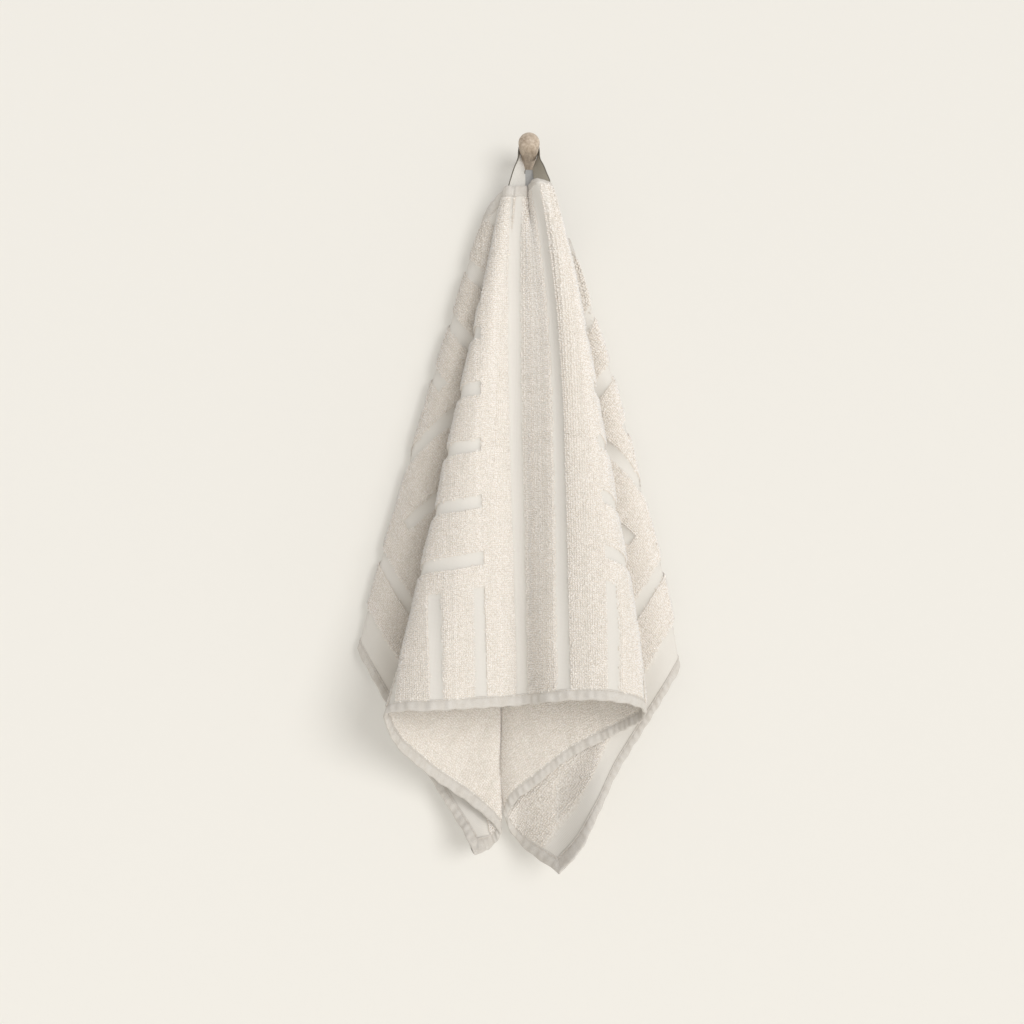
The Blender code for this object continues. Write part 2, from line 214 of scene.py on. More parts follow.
# Lamps: name, the place they shine from towards the origin, spread (degrees), strength, and
# what they light: the part or the wall
LAMPS = (
    ("key_lamp", (0.85, -1.5, 0.5), 24.0, 0.7, "part"),
    ("front_fill", (0.15, -1.0, -0.05), 20.0, 0.9, "part"),
    ("right_fill", (1.6, -1.1, 0.1), 40.0, 0.75, "part"),
    ("left_fill", (-1.2, -1.1, -0.5), 50.0, 0.36, "part"),
    ("wall_lamp", (0.72, -1.5, 0.26), 26.0, 1.65, "wall"),
)
WORLD_STRENGTH = 0.47
WALL_GLOW = 0.35
WALL_GLOW_STRENGTH = 0.96
# Wall and floor: name, size, place and tip (degrees)
STAGE_PLANES = (("back_wall", 6.0, (0.0, 0.003, -0.3), 90.0),
                ("floor", 8.0, (0.0, -3.0, -1.4), 0.0))
# Camera, level and square to the wall
CAMERA_LENS = 72.5
CAMERA_PLACE = (-0.0165, -2.05, -0.342)
# A mix node that multiplies two colours
TINT = {"data_type": "RGBA", "blend_type": "MULTIPLY", "input_0": 1.0}

# Flat-woven bars that show between the strips of terry. Both halves of the towel match, so a
# bar at a distance from the middle is on both sides of it.
LONG_BAR_PITCH = 47.0
LONG_BAR_WIDTH = 13.0
END_BAR = (363.0, 376.0)
END_BORDER = 413.0
MIDDLE_BLOCK = (64.0, 326.0)
BLOCK_DEPTH = (113.0, 387.0)
CROSS_BARS = (141.0, 195.5, 250.0, 304.5, 359.0)
CROSS_BAR_WIDTH = 12.5
LONG_HEM = 10.0
SIDE_HEM = 9.0
# How much nearer to its edge the end border lies at the pulled right-hand corner
END_SLACK = 12.0


def linear(code):
    """Turn an sRGB hex colour into the linear colour that shaders take."""
    parts = [int(code[place:place + 2], 16) / 255.0 for place in (1, 3, 5)]
    return [part / 12.92 if part <= 0.04045 else ((part + 0.055) / 1.055) ** 2.4
            for part in parts]


def smooth_lookup(keys, values, places):
    """Values between table rows, on smooth curves through all of them."""
    keys = np.asarray(keys, dtype=float)
    values = np.asarray(values, dtype=float)
    steps = np.diff(keys)
    slopes = np.diff(values) / steps
    middle = (slopes[:-1] * steps[1:] + slopes[1:] * steps[:-1]) / (steps[:-1] + steps[1:])
    tangents = np.concatenate((slopes[:1], middle, slopes[-1:]))
    index = np.clip(np.searchsorted(keys, places, side="right") - 1, 0, len(keys) - 2)
    span = steps[index]
    t = (places - keys[index]) / span
    return ((2 * t ** 3 - 3 * t ** 2 + 1) * values[index]
            + (t ** 3 - 2 * t ** 2 + t) * span * tangents[index]
            + (3 * t ** 2 - 2 * t ** 3) * values[index + 1]
            + (t ** 3 - t ** 2) * span * tangents[index + 1])


def unit(vectors):
    """Vectors of length 1 along the last axis."""
    return vectors / np.maximum(np.linalg.norm(vectors, axis=-1, keepdims=True), 1e-9)


class Drape:
    """The hanging cloth: where flat points of the towel lie in space, for whole arrays."""

    def __init__(self):
        rows = [dict(zip(THREAD_COLUMNS, row)) for row in THREADS]
        self.keys = [row["edge"] for row in rows]
        self.tables = {key: [row[key] for row in rows]
                       for key in ("foot", "top_x", "top_y", "top_z", "bow", "curl", "curl_start")}
        for axis, curl in (("x", 0.0), ("y", 1.0), ("z", 0.0)):
            runs = []
            for row in rows:
                across, down = self.edge_point(np.array(float(row["edge"])))
                length = math.hypot(across - row["foot"], down)
                runs.append((row["end_" + axis] + curl * row["curl"] - row["top_" + axis]) / length)
            self.tables["run_" + axis] = runs
        eases = list(zip(*EASES))
        self.eases = {key: (eases[0], eases[number]) for number, key in enumerate(EASE_COLUMNS)}

    @staticmethod
    def edge_point(edge):
        """Flat point at a place along the towel's side and bottom edges."""
        side = np.where(edge < 0, -1.0, 1.0)
        reach = np.abs(edge)
        across = np.where(reach <= HALF_LENGTH, edge, side * HALF_LENGTH)
        down = np.where(reach <= HALF_LENGTH, WIDTH, WIDTH + HALF_LENGTH - reach)
        return across, down

    def look(self, key, edge):
        """A value of the threads at places along the edge."""
        return smooth_lookup(self.keys, self.tables[key], edge)

    def thread(self, across, down):
        """Edge place and share of the thread through each flat point."""
        low = np.full(across.shape, -FAN_REACH)
        high = np.full(across.shape, FAN_REACH)
        for _turn in range(SEARCH_TURNS):
            guess = (low + high) / 2
            foot = self.look("foot", guess)
            end_across, end_down = self.edge_point(guess)
            side = (across - foot) * end_down - down * (end_across - foot)
            low = np.where(side > 0, guess, low)
            high = np.where(side > 0, high, guess)
        edge = (low + high) / 2
        foot = self.look("foot", edge)
        end_across, end_down = self.edge_point(edge)
        length = np.hypot(end_across - foot, end_down)
        share = ((across - foot) * (end_across - foot) + down * end_down) / length ** 2
        return edge, np.clip(share, 0.0, 1.0)

    def ease(self, key, edge):
        """A value of the eases at places along the edge."""
        return np.interp(edge, *self.eases[key])

    def place(self, across, down):
        """Points in space, mm, on the middle of the cloth for flat points."""
        edge, share = self.thread(across, down)
        foot = self.look("foot", edge)
        end_across, end_down = self.edge_point(edge)
        run = share * np.hypot(end_across - foot, end_down)
        spot = np.stack([self.look("top_" + axis, edge) + run * self.look("run_" + axis, edge)
                         for axis in "xyz"], axis=-1)
        spot[..., 0] += self.look("bow", edge) * (1.0 - np.abs(2.0 * share - 1.0) ** 4)
        start = self.look("curl_start", edge)
        past = np.clip((share - start) / (1.0 - start), 0.0, 1.0)
        spot[..., 1] -= self.look("curl", edge) * past ** 1.5
        spot[..., 0] += self.ease("sway", edge) * share * (1.0 - share) ** 2 * 6.75
        spot[..., 2] += self.ease("sag", edge) * share ** 2 * (1.0 - share) * 6.75
        closing = np.clip(share / PLEAT_END, 0.0, 1.0)
        kept = 1.0 - closing ** 2 * (3.0 - 2.0 * closing)
        spot[..., 1] += self.ease("pleat", edge) * (kept - (1.0 - share))
        self.roll_top(spot, run, self.ease("roll", edge))
        return spot

    @staticmethod
    def roll_top(spot, run, amount):
        """Turn the top edge over to the back, so that its hem is hidden."""
        left = np.clip(ROLL_LENGTH - run, 0.0, ROLL_LENGTH)
        angle = left / ROLL_RADIUS
        spot[..., 1] += amount * ROLL_RADIUS * (1.0 - np.cos(angle))
        spot[..., 2] += amount * (ROLL_RADIUS * np.sin(angle) - left
                                  + ROLL_LIFT * np.clip(1.0 - run / 70.0, 0.0, 1.0))

    def surface(self, across, down):
        """Middle of the cloth with its small waves, its normal and its share of full thickness."""
        step = 0.8
        spot = self.place(across, down)
        beside = self.place(np.clip(across + step, -HALF_LENGTH, HALF_LENGTH), down)
        before = self.place(np.clip(across - step, -HALF_LENGTH, HALF_LENGTH), down)
        below = self.place(across, np.clip(down + step, 0.0, WIDTH))
        above = self.place(across, np.clip(down - step, 0.0, WIDTH))
        normal = unit(-np.cross(beside - before, below - above))
        thick = 0.5 + 0.5 * np.clip(down / 60.0, 0.0, 1.0)
        spot = spot + normal * (waves(across, down) * thick)[..., None]
        return spot, normal, thick


def waves(across, down):
    """Small swells of the cloth, mm: drawn-in edges, a pressed crease and loose terry."""
    swell = 0.45 * np.sin(across / 17.0 + 1.7 * np.sin(down / 31.0))
    swell += 0.35 * np.sin(down / 13.0 + 1.3 * np.sin(across / 23.0))
    edge_gap = np.minimum(down, WIDTH - down)
    pull = 0.6 * np.sin(across / 4.1 + 2.0 * np.sin(across / 19.0))
    swell += pull * np.clip(1.3 - edge_gap / (1.6 * LONG_HEM), 0.0, 1.0)
    loose = np.clip((down - 330.0) / 120.0, 0.0, 1.0)
    loose = loose * np.clip(np.abs(across) / 60.0 - 3.0, 0.0, 1.0)
    swell += 0.9 * np.sin((across + 0.7 * down) / 16.0 + np.sin(down / 37.0)) * loose
    swell -= 0.9 * np.exp(-((down - WIDTH / 2) / 2.5) ** 2) * (np.abs(across) < 200)
    return swell


def heights(across, down):
    """Height of both faces over the cloth's middle, mm, under the loops, and share of terry."""
    flat = flat_weave(across, down, 1.6)
    hem = hems(across, down, 1.6)
    domed = 1.0 - flat_weave(across, down, 12.0)
    front = 0.25 + 0.75 * (1.0 - flat) + 0.6 * domed * (1.0 - flat) + 0.5 * hem
    back = 0.45 + 0.75 * (1.0 - hem) - 0.5 * flat_weave(across, down, 3.0) * (1.0 - hem)
    return front, back, 1.0 - flat, 1.0 - hem


def near(distance, centre, width, soft):
    """1 inside a band of a width about its centre, fading to 0 over a soft edge."""
    return np.clip((width / 2 + soft / 2 - np.abs(distance - centre)) / soft, 0.0, 1.0)


def flat_weave(across, down, soft):
    """Share of flat weave, not terry, on the front at flat points."""
    slack = np.clip((across - 330.0) / 90.0, 0, 1) * np.clip((down - 260.0) / 180.0, 0, 1)
    reach = np.abs(across) - END_SLACK * slack
    flat = near(reach, LONG_BAR_PITCH / 2, LONG_BAR_WIDTH, soft)
    low, high = BLOCK_DEPTH
    inside = np.clip((down - low) / soft + 0.5, 0, 1) * np.clip((high - down) / soft + 0.5, 0, 1)
    outside = 1.0 - inside
    for number in range(1, 7):
        centre = LONG_BAR_PITCH * (number + 0.5)
        flat = np.maximum(flat, near(reach, centre, LONG_BAR_WIDTH, soft) * outside)
    block = near(reach, sum(MIDDLE_BLOCK) / 2, MIDDLE_BLOCK[1] - MIDDLE_BLOCK[0], soft)
    for centre in CROSS_BARS:
        flat = np.maximum(flat, near(down, centre, CROSS_BAR_WIDTH, soft) * block)
    flat = np.maximum(flat, near(reach, sum(END_BAR) / 2, END_BAR[1] - END_BAR[0], soft))
    flat = np.maximum(flat, np.clip((reach - END_BORDER) / soft + 0.5, 0, 1))
    return np.maximum(flat, hems(across, down, soft))


def hems(across, down, soft):
    """Share of plain hem at flat points, the same on both faces."""
    edge_gap = np.minimum(down, WIDTH - down)
    side_gap = HALF_LENGTH - np.abs(across)
    return np.maximum(np.clip((LONG_HEM - edge_gap) / soft + 0.5, 0, 1),
                      np.clip((SIDE_HEM - side_gap) / soft + 0.5, 0, 1))


def grid_lines(length, marks, pitch):
    """Coordinates from 0 to a length, closer together on both sides of each mark."""
    stops = {0.0, length}
    for mark in marks:
        for shift in (-EDGE_PAIR, EDGE_PAIR):
            if 0.5 < mark + shift < length - 0.5:
                stops.add(round(mark + shift, 3))
    stops = sorted(stops)
    lines = []
    for first, second in zip(stops, stops[1:]):
        count = max(1, round((second - first) / pitch))
        lines += [first + (second - first) * step / count for step in range(count)]
    return np.array(lines + [length])


def cloth_lines(pitch):
    """Mesh lines across and down the flat towel, with a pair at every bar's edge."""
    reach_marks = [END_BAR[0], END_BAR[1], END_BORDER, MIDDLE_BLOCK[0], MIDDLE_BLOCK[1],
                   HALF_LENGTH - SIDE_HEM]
    for number in range(7):
        centre = LONG_BAR_PITCH * (number + 0.5)
        reach_marks += [centre - LONG_BAR_WIDTH / 2, centre + LONG_BAR_WIDTH / 2]
    half = grid_lines(HALF_LENGTH, reach_marks, pitch)
    across = np.concatenate((-half[:0:-1], half))
    down_marks = [LONG_HEM, WIDTH - LONG_HEM, *BLOCK_DEPTH]
    for centre in CROSS_BARS:
        down_marks += [centre - CROSS_BAR_WIDTH / 2, centre + CROSS_BAR_WIDTH / 2]
    return across, grid_lines(WIDTH, down_marks, pitch)


def new_material(name):
    """A material with its Principled shader, ready for its nodes."""
    material = bpy.data.materials.new(name)
    material.use_nodes = True
    return material, material.node_tree, material.node_tree.nodes["Principled BSDF"]


def add_node(tree, kind, **settings):
    """Add a node: input_N or an input's name sets or links it, stops fills a colour ramp."""
    node = tree.nodes.new(kind)
    for key, value in settings.items():
        if key == "stops":
            bands = node.color_ramp.elements
            while len(bands) < len(value):
                bands.new(0.5)
            for band, (place, code) in zip(bands, value):
                band.position = place
                band.color = (*linear(code), 1.0)
            continue
        if key.startswith("input_"):
            socket = node.inputs[int(key.split("_")[1])]
        else:
            linked = isinstance(value, bpy.types.NodeSocket)
            label = key.replace("_", " ").title()
            socket = node.inputs.get(label) if linked or not hasattr(node, key) else None
        if socket is None:
            setattr(node, key, value)
        elif isinstance(value, bpy.types.NodeSocket):
            tree.links.new(value, socket)
        else:
            socket.default_value = value
    return node


def finish_shader(tree, shader, colour, roughness, specular, sheen=0.0, bump=None):
    """Link a piece's colour and bump, and set how matte and how fuzzy its surface is."""
    tree.links.new(colour, shader.inputs["Base Color"])
    if bump is not None:
        tree.links.new(bump, shader.inputs["Normal"])
    shader.inputs["Roughness"].default_value = roughness
    shader.inputs["Specular IOR Level"].default_value = specular
    shader.inputs["Sheen Weight"].default_value = sheen
    shader.inputs["Sheen Roughness"].default_value = 0.6


class TowelSettings(bpy.types.PropertyGroup):
    """Sizes and colours of the towel."""

    pile: bpy.props.FloatProperty(name="Pile", description="Height of the terry above its ground",
                                  default=0.0017, unit="LENGTH")
    loop_pitch: bpy.props.FloatProperty(name="Loop pitch", description="Spacing of the terry loops",
                                        default=0.0020, unit="LENGTH")
    mesh_pitch: bpy.props.FloatProperty(name="Mesh pitch", description="Spacing of the mesh lines",
                                        default=0.0048, unit="LENGTH")
    terry: bpy.props.FloatVectorProperty(name="Terry", description="Colour of the terry loops",
                                         subtype="COLOR", size=3, default=linear("#f9f7f5"))
    # Partly painted shade: the flat weave is set darker than the terry, in place of the shade in
    # the sunken bars
    weave: bpy.props.FloatVectorProperty(name="Flat weave", description="Colour of the flat bars",
                                         subtype="COLOR", size=3, default=linear("#ddd9d2"))
    # Painted shade: the hems' colour is set a little darker than the bars' in place of the shade on
    # the rolled hems
    hem: bpy.props.FloatVectorProperty(name="Hem", description="Colour of the plain hems",
                                       subtype="COLOR", size=3, default=linear("#d5d1cb"))
    tape: bpy.props.FloatVectorProperty(name="Tape", description="Colour of the hanging loop",
                                        subtype="COLOR", size=3, default=linear("#d8d5cf"))
    wood: bpy.props.FloatVectorProperty(name="Wood", description="Colour of the peg's beech",
                                        subtype="COLOR", size=3, default=linear("#cdbeac"))
    wall: bpy.props.FloatVectorProperty(name="Wall", description="Colour of the wall behind",
                                        subtype="COLOR", size=3, default=linear("#f2efe8"))


def cotton_material(settings):
    """Cotton terry's ground under its loops, matte and fuzzy, darkened between the loops with
    painted shade, and the flat weave of the bars.
    """
    material, tree, shader = new_material("cotton_terry_cloth")
    flat = add_node(tree, "ShaderNodeUVMap", uv_map="flat").outputs[0]
    pile = add_node(tree, "ShaderNodeAttribute", attribute_name="pile").outputs["Fac"]
    # The yarn stands in rows 2 mm apart. The bars' threads are drawn 1.3 mm apart, about twice
    # as coarse as real ones, so that they show.
    loops = add_node(tree, "ShaderNodeTexVoronoi", vector=flat, scale=520.0,
                     randomness=0.85).outputs["Distance"]
    tufts = add_node(tree, "ShaderNodeTexNoise", vector=flat, scale=900.0, detail=3.0,
                     roughness=0.6).outputs["Fac"]
    warp, weft = (add_node(tree, "ShaderNodeTexWave", vector=flat, scale=250.0, distortion=0.6,
                           bands_direction=way).outputs["Fac"] for way in "XY")
    threads = add_node(tree, "ShaderNodeMath", operation="ADD", input_0=warp,
                       input_1=weft).outputs[0]
    # Painted shade: the ground darkens away from each loop's middle, where the pile's crevices lie
    ground = add_node(tree, "ShaderNodeValToRGB", input_0=loops,
                      stops=((0.0, "#fbf9f5"), (0.45, "#ece8e1"), (0.9, "#dcd5cb"))).outputs[0]
    plain = add_node(tree, "ShaderNodeValToRGB", input_0=threads,
                     stops=((0.2, "#f6f4f1"), (0.9, "#ffffff"))).outputs[0]
    terry, weave = (
        add_node(tree, "ShaderNodeMix", **TINT, input_6=pattern, input_7=(*colour, 1.0)).outputs[2]
        for pattern, colour in ((ground, settings.terry), (plain, settings.weave)))
    colour = add_node(tree, "ShaderNodeMix", data_type="RGBA", input_0=pile, input_6=weave,
                      input_7=terry).outputs[2]
    weave_bump = add_node(tree, "ShaderNodeBump", strength=0.25, distance=0.0002, height=threads)
    height = add_node(tree, "ShaderNodeMath", operation="MULTIPLY_ADD", input_0=loops, input_1=-1.0,
                      input_2=tufts).outputs[0]
    raised = add_node(tree, "ShaderNodeMath", operation="MULTIPLY", input_0=height, input_1=pile)
    pile_bump = add_node(tree, "ShaderNodeBump", strength=0.85, distance=0.0011,
                         height=raised.outputs[0], normal=weave_bump.outputs[0])
    finish_shader(tree, shader, colour, 0.95, 0.15, 0.25, pile_bump.outputs[0])
    return material


def loop_material(settings):
    """Cotton terry loops: painted shade and warm bounce at their roots, pale at their tips, never
    glossy.
    """
    material, tree, shader = new_material("cotton_terry_loops")
    tip, tone = (add_node(tree, "ShaderNodeAttribute", attribute_name=name).outputs["Fac"]
                 for name in ("tip", "tone"))
    yarn = add_node(tree, "ShaderNodeValToRGB", input_0=tone,
                    stops=((0.0, "#f0efec"), (0.5, "#f8f7f5"), (1.0, "#ffffff"))).outputs[0]
    # Painted shade: the roots are darker and warmer than the tips, in place of the shade and warm
    # bounce deep in the pile
    rise = add_node(tree, "ShaderNodeValToRGB", input_0=tip,
                    stops=((0.0, "#e1d7ca"), (0.6, "#f9f6f2"), (1.0, "#ffffff"))).outputs[0]
    shaded = add_node(tree, "ShaderNodeMix", **TINT, input_6=yarn, input_7=rise).outputs[2]
    colour = add_node(tree, "ShaderNodeMix", **TINT, input_6=shaded,
                      input_7=(*settings.terry, 1.0)).outputs[2]
    finish_shader(tree, shader, colour, 0.95, 0.1, 0.2)
    return material


def hem_material(settings):
    """Plain-woven cotton, double at the hems, coloured a little darker than the bars as painted
    shade.
    """
    material, tree, shader = new_material("plain_hem_cotton")
    flat = add_node(tree, "ShaderNodeUVMap", uv_map="flat").outputs[0]
    threads, patches = (add_node(tree, "ShaderNodeTexNoise", vector=flat, scale=scale,
                                 detail=3.0).outputs["Fac"] for scale in (900.0, 120.0))
    both = add_node(tree, "ShaderNodeMath", operation="ADD", input_0=threads,
                    input_1=patches).outputs[0]
    half = add_node(tree, "ShaderNodeMath", operation="MULTIPLY", input_0=both,
                    input_1=0.5).outputs[0]
    pattern = add_node(tree, "ShaderNodeValToRGB", input_0=half,
                       stops=((0.35, "#efece8"), (0.65, "#ffffff"))).outputs[0]
    colour = add_node(tree, "ShaderNodeMix", **TINT, input_6=pattern,
                      input_7=(*settings.hem, 1.0)).outputs[2]
    bump = add_node(tree, "ShaderNodeBump", strength=0.4, distance=0.0003, height=half)
    finish_shader(tree, shader, colour, 0.85, 0.2, 0.1, bump.outputs[0])
    return material


def thread_material():
    """Cotton sewing thread, painted darker and warmer than the cloth in place of the seam's shadow
    line, so that the seam reads.
    """
    material, _tree, shader = new_material("cotton_sewing_thread")
    shader.inputs["Base Color"].default_value = (*linear("#cfc5b8"), 1.0)
    shader.inputs["Roughness"].default_value = 0.7
    return material


def tape_material(settings):
    """Woven cotton tape: fine ribs, a painted shadow on its front edge, and greyer past the peg,
    partly the darker ground of its left-out print and partly painted shade.
    """
    material, tree, shader = new_material("woven_cotton_tape")
    flat = add_node(tree, "ShaderNodeUVMap", uv_map="flat").outputs[0]
    ribs = add_node(tree, "ShaderNodeTexWave", vector=flat, scale=420.0, distortion=0.4,
                    bands_direction="X").outputs["Fac"]
    fuzz = add_node(tree, "ShaderNodeTexNoise", vector=flat, scale=700.0,
                    detail=3.0).outputs["Fac"]
    weave = add_node(tree, "ShaderNodeMath", operation="ADD", input_0=ribs, input_1=fuzz).outputs[0]
    pattern = add_node(tree, "ShaderNodeValToRGB", input_0=weave,
                       stops=((0.3, "#e4e1dc"), (1.0, "#ffffff"))).outputs[0]
    place = add_node(tree, "ShaderNodeSeparateXYZ", input_0=flat)
    # The left leg is pale. The right one is greyer, partly the darker ground of its left-out print
    # and partly painted shade. The turned-in end is painted the cool grey of shade.
    run = add_node(tree, "ShaderNodeValToRGB", input_0=place.outputs["X"],
                   stops=((0.052, "#ffffff"), (0.068, "#bab5aa"), (0.2, "#bab5aa"),
                          (0.29, "#c3c6cb"))).outputs[0]
    # Painted shadow: the tape's front edge is mixed towards a dark grey
    edge = add_node(tree, "ShaderNodeMath", operation="GREATER_THAN", input_0=place.outputs["Y"],
                    input_1=SHADOWED_EDGE_START * MM).outputs[0]
    woven = add_node(tree, "ShaderNodeMix", **TINT, input_6=pattern, input_7=run).outputs[2]
    dyed = add_node(tree, "ShaderNodeMix", **TINT, input_6=woven,
                    input_7=(*settings.tape, 1.0)).outputs[2]
    colour = add_node(tree, "ShaderNodeMix", data_type="RGBA", input_0=edge, input_6=dyed,
                      input_7=(*linear("#6a665d"), 1.0)).outputs[2]
    bump = add_node(tree, "ShaderNodeBump", strength=0.4, distance=0.0002, height=weave)
    finish_shader(tree, shader, colour, 0.8, 0.25, 0.1, bump.outputs[0])
    return material


def wood_material(settings):
    """Turned beech, oiled: pale, with short fine flecks along the grain and a soft gloss."""
    material, tree, shader = new_material("oiled_beech")
    place = add_node(tree, "ShaderNodeTexCoord").outputs["Object"]
    turned = add_node(tree, "ShaderNodeMapping", vector=place,
                      rotation=(math.radians(PEG_TILT), 0.0, 0.0),
                      input_3=(1.0, 0.12, 1.0)).outputs[0]
    grain = add_node(tree, "ShaderNodeTexNoise", vector=turned, scale=420.0, detail=5.0,
                     roughness=0.65).outputs["Fac"]
    blotches = add_node(tree, "ShaderNodeTexNoise", vector=place, scale=130.0,
                        detail=3.0).outputs["Fac"]
    flecks = add_node(tree, "ShaderNodeMath", operation="MULTIPLY_ADD", input_0=blotches,
                      input_1=0.6, input_2=grain).outputs[0]
    pattern = add_node(tree, "ShaderNodeValToRGB", input_0=flecks,
                       stops=((0.6, "#c8c1bb"), (0.8, "#e5e2df"), (1.0, "#ffffff"))).outputs[0]
    colour = add_node(tree, "ShaderNodeMix", **TINT, input_6=pattern,
                      input_7=(*settings.wood, 1.0)).outputs[2]
    bump = add_node(tree, "ShaderNodeBump", strength=0.15, distance=0.0002, height=grain)
    finish_shader(tree, shader, colour, 0.5, 0.4, 0.0, bump.outputs[0])
    return material


def link_piece(name, mesh, material):
    """Add a finished mesh to the scene as a piece that rides with the object."""
    item = bpy.data.objects.new(name, mesh)
    bpy.context.scene.collection.objects.link(item)
    mesh.materials.append(material)
    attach(item, "root")
    return item


def finish_mesh(shell, mesh):
    """Write a closed shell to its mesh, smooth, with its faces pointing outwards."""
    bmesh.ops.recalc_face_normals(shell, faces=shell.faces[:])
    shell.to_mesh(mesh)
    shell.free()
    mesh.shade_smooth()


class OBJECT_OT_towel_cloth(bpy.types.Operator):
    """Weave the towel: one sheet on the drape, with raised terry and sunken flat bars"""

    bl_idname = "object.towel_cloth"
    bl_label = "Towel cloth"

    def execute(self, context):
        settings = context.scene.towel_settings
        drape = Drape()
        across, down = cloth_lines(settings.mesh_pitch / MM)
        flat_across, flat_down = np.meshgrid(across, down, indexing="ij")
        spots, normals, thick = drape.surface(flat_across, flat_down)
        front_height, back_height, front, back = heights(flat_across, flat_down)
        front_spots = spots + normals * (front_height * thick)[..., None]
        back_spots = spots - normals * (back_height * thick)[..., None]
        count_across, count_down = flat_across.shape
        sheet = bmesh.new()
        layer = sheet.loops.layers.uv.new("flat")
        fuzz = sheet.verts.layers.float.new("pile")
        flat_of = {}
        for side_spots, side_pile, turned in ((front_spots, front, False),
                                              (back_spots, back, True)):
            grid = bmesh.ops.create_grid(sheet, x_segments=count_across - 1,
                                         y_segments=count_down - 1, size=1.0)
            for vert in grid["verts"]:
                column = round((vert.co.x + 1) / 2 * (count_across - 1))
                row = round((1 - vert.co.y) / 2 * (count_down - 1))
                vert.co = Vector(side_spots[column, row]) * MM
                vert[fuzz] = side_pile[column, row]
                flat_of[vert] = (across[column] * MM + 0.5, 0.5 - down[row] * MM)
            if turned:
                faces = {face for vert in grid["verts"] for face in vert.link_faces}
                bmesh.ops.reverse_faces(sheet, faces=list(faces))
        rims = [edge for edge in sheet.edges if edge.is_boundary]
        bmesh.ops.bridge_loops(sheet, edges=rims)
        for face in sheet.faces:
            for loop in face.loops:
                loop[layer].uv = flat_of[loop.vert]
        mesh = bpy.data.meshes.new("towel_terry")
        finish_mesh(sheet, mesh)
        towel = link_piece("towel_terry", mesh, cotton_material(settings))
        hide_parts("towel_cloth")
        return {"FINISHED"}


def hem_places(side, along, inset):
    """Flat points from their places along a hem and their distances in from its edge."""
    return {"top": (along, inset), "bottom": (along, WIDTH - inset),
            "left": (inset - HALF_LENGTH, along + WIDTH / 2),
            "right": (HALF_LENGTH - inset, along + WIDTH / 2)}[side]


def hem_strip(drape, side, chance):
    """Points of one folded and stitched hem, as rows along it of a section across it."""
    long_side = side in ("top", "bottom")
    reach = HALF_LENGTH if long_side else WIDTH / 2
    scale = 1.0 if long_side else SIDE_HEM / LONG_HEM
    along = np.arange(-reach, reach + HEM_ROW_PITCH / 2, HEM_ROW_PITCH)
    section = list(HEM_SECTION) + [(inset, -height) for inset, height in HEM_SECTION[::-1]]
    inset, height = np.array(section).T
    along_grid, inset_grid = np.meshgrid(along, inset * scale, indexing="ij")
    phase = np.cumsum(chance.normal(0.0, 0.09, along.shape))[:, None]
    drawn = np.sin(along_grid * 0.72 + 2.5 * phase)
    full = np.clip(np.minimum(inset_grid / 2.0 + 0.5, (9.5 - inset_grid) / 3.0), 0.0, 1.0)
    lift = 1.0 + 0.32 * drawn * full
    ripple = 0.45 * np.sin(along_grid * 0.31 + 1.5 * phase)
    across, down = hem_places(side, along_grid, np.clip(inset_grid, 0.0, None))
    spots, normals, thick = drape.surface(across, down)
    inward = {"top": (0, 1), "bottom": (0, -1), "left": (1, 0), "right": (-1, 0)}[side]
    further = unit(drape.place(across + inward[0], down + inward[1]) - drape.place(across, down))
    out = np.clip(-inset_grid, 0.0, None) + ripple * np.clip(1.0 - inset_grid / 3.0, 0.0, 1.0)
    rise = np.array(height)[None, :] * lift * thick
    return (spots + normals * rise[..., None] - further * out[..., None]), across, down


def band_faces(rows, columns):
    """Faces of a tube of a number of rows, open at its ends, whose section closes on itself."""
    corner = np.arange(rows - 1)[:, None] * columns + np.arange(columns)[None, :]
    turned = np.arange(rows - 1)[:, None] * columns + (np.arange(columns)[None, :] + 1) % columns
    return np.stack((corner, turned, turned + columns, corner + columns), axis=-1).reshape(-1, 4)


class OBJECT_OT_towel_hems(bpy.types.Operator):
    """Fold and stitch the hems: double cloth on all four edges, drawn in by the seam"""

    bl_idname = "object.towel_hems"
    bl_label = "Towel hems"

    def execute(self, context):
        drape = Drape()
        chance = np.random.default_rng(8)
        points, faces, flats, start = [], [], [], 0
        for side in HEM_SIDES:
            strip, across, down = hem_strip(drape, side, chance)
            rows, columns = strip.shape[:2]
            points.append(strip.reshape(-1, 3) * MM)
            flats.append(np.stack((across.ravel(), down.ravel()), axis=-1) * MM)
            faces += (band_faces(rows, columns) + start).tolist()
            first = list(range(start, start + columns))
            last = list(range(start + (rows - 1) * columns, start + rows * columns))
            faces += [first, last[::-1]]
            start += rows * columns
        mesh = bpy.data.meshes.new("towel_hems")
        mesh.from_pydata(np.concatenate(points).tolist(), [], faces)
        shell = bmesh.new()
        shell.from_mesh(mesh)
        layer = shell.loops.layers.uv.new("flat")
        flat = np.concatenate(flats)
        for face in shell.faces:
            for loop in face.loops:
                loop[layer].uv = (flat[loop.vert.index][0] + 0.5, 0.5 - flat[loop.vert.index][1])
        finish_mesh(shell, mesh)
        link_piece("towel_hems", mesh, hem_material(context.scene.towel_settings))
        return {"FINISHED"}


